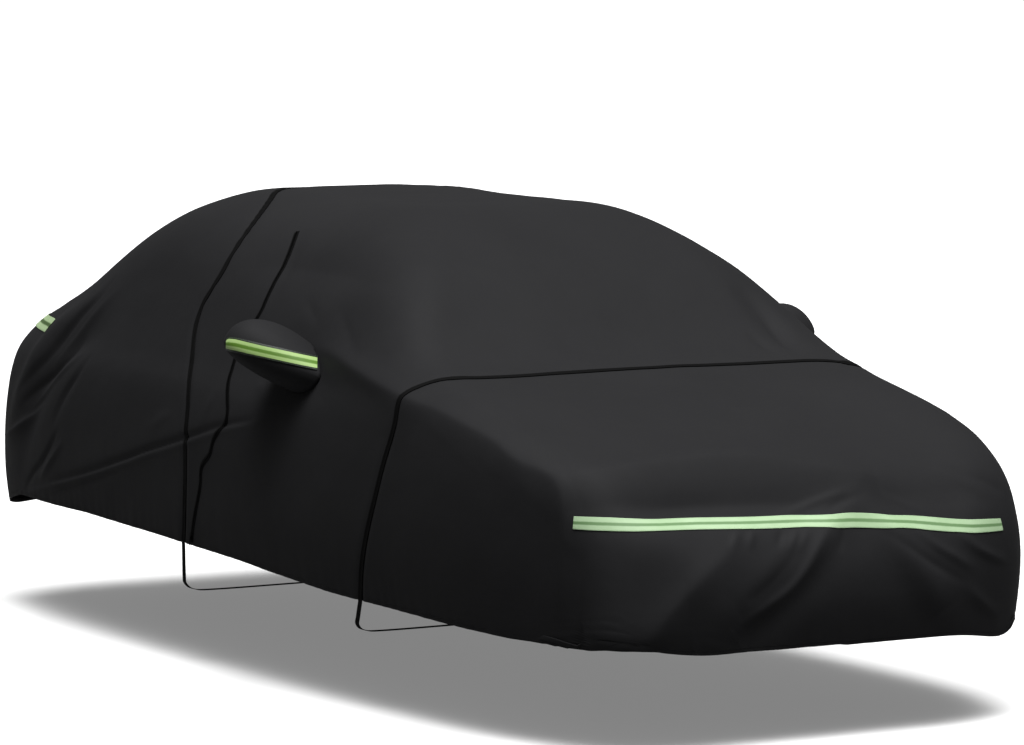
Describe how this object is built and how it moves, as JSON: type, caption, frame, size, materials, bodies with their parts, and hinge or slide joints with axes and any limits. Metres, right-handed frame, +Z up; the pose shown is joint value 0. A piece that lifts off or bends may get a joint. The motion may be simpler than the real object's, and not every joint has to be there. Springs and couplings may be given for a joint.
{
  "type": "car cover",
  "caption": "Fitted black cloth cover draped over a saloon car, with mirror pockets, straps that loop under the car, a door zip and pale green reflective strips.",
  "frame": {"origin": "under the cloth at the middle of the roof, on the centre plane, where the car's roof carries the cover", "axes": "+Y from the nose to the tail, +X towards the cover's left side, +Z up"},
  "size_m": [2.2185, 4.386, 1.2912],
  "materials": {
    "black_cloth": "satin black coated polyester cloth",
    "black_webbing": "matte black elastic webbing",
    "black_zip": "black coil zip on woven tape",
    "reflective": "pale green retroreflective tape"
  },
  "bodies": {
    "root": {"cover_cloth": "black_cloth", "mirror_pocket_right": "black_cloth", "mirror_pocket_left": "black_cloth", "strap_front": "black_webbing", "strap_rear": "black_webbing", "door_zip": "black_zip", "strip_front": "reflective", "strip_rear": "reflective", "strip_mirror_right": "reflective"}
  },
  "joints": []
}
